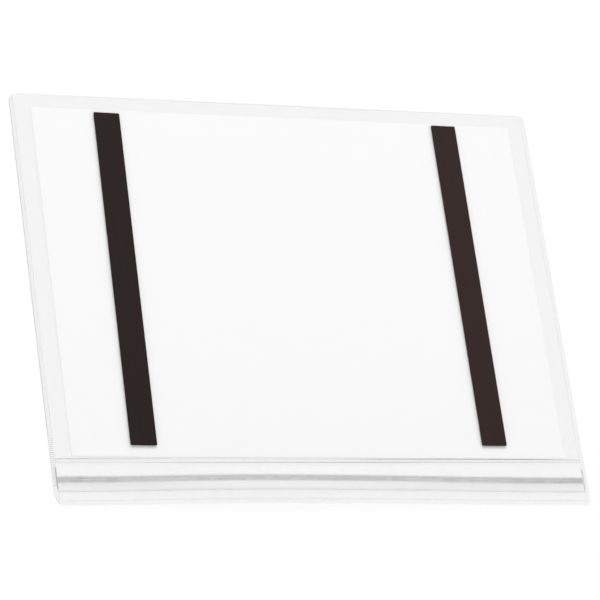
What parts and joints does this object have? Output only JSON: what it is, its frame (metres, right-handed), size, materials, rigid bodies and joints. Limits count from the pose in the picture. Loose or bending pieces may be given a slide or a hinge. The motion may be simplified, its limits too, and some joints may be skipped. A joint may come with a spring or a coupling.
{
  "type": "magnetic document pocket",
  "caption": "Clear soft-plastic pocket holding a landscape sheet of paper, with a press-sealed mouth under a flap and flexible magnet strips along its back.",
  "frame": {"origin": "under the middle of the pocket, on what it lies on", "axes": "+X along the long side, +Y up the short side from the sealed mouth to the folded top, +Z out of the back, on the magnet strips' side"},
  "size_m": [0.321, 0.246, 0.0075],
  "materials": {
    "clear_film": "clear soft PVC film with a smooth shine",
    "seal_plastic": "drawn soft PVC, clear but grey where its ribs gather the light",
    "paper": "plain white office paper, matt",
    "flexible_magnet": "dark brown ferrite powder in a rubbery binder, matt",
    "tape": "thin double-sided tape, milky"
  },
  "bodies": {
    "root": {"pocket_film": "clear_film", "closing_flap": "clear_film", "seal_rail_lower": "seal_plastic", "seal_rail_upper": "seal_plastic", "paper_sheet": "paper", "adhesive_tape_left": "tape", "magnet_strip_left": "flexible_magnet", "adhesive_tape_right": "tape", "magnet_strip_right": "flexible_magnet"}
  },
  "joints": []
}
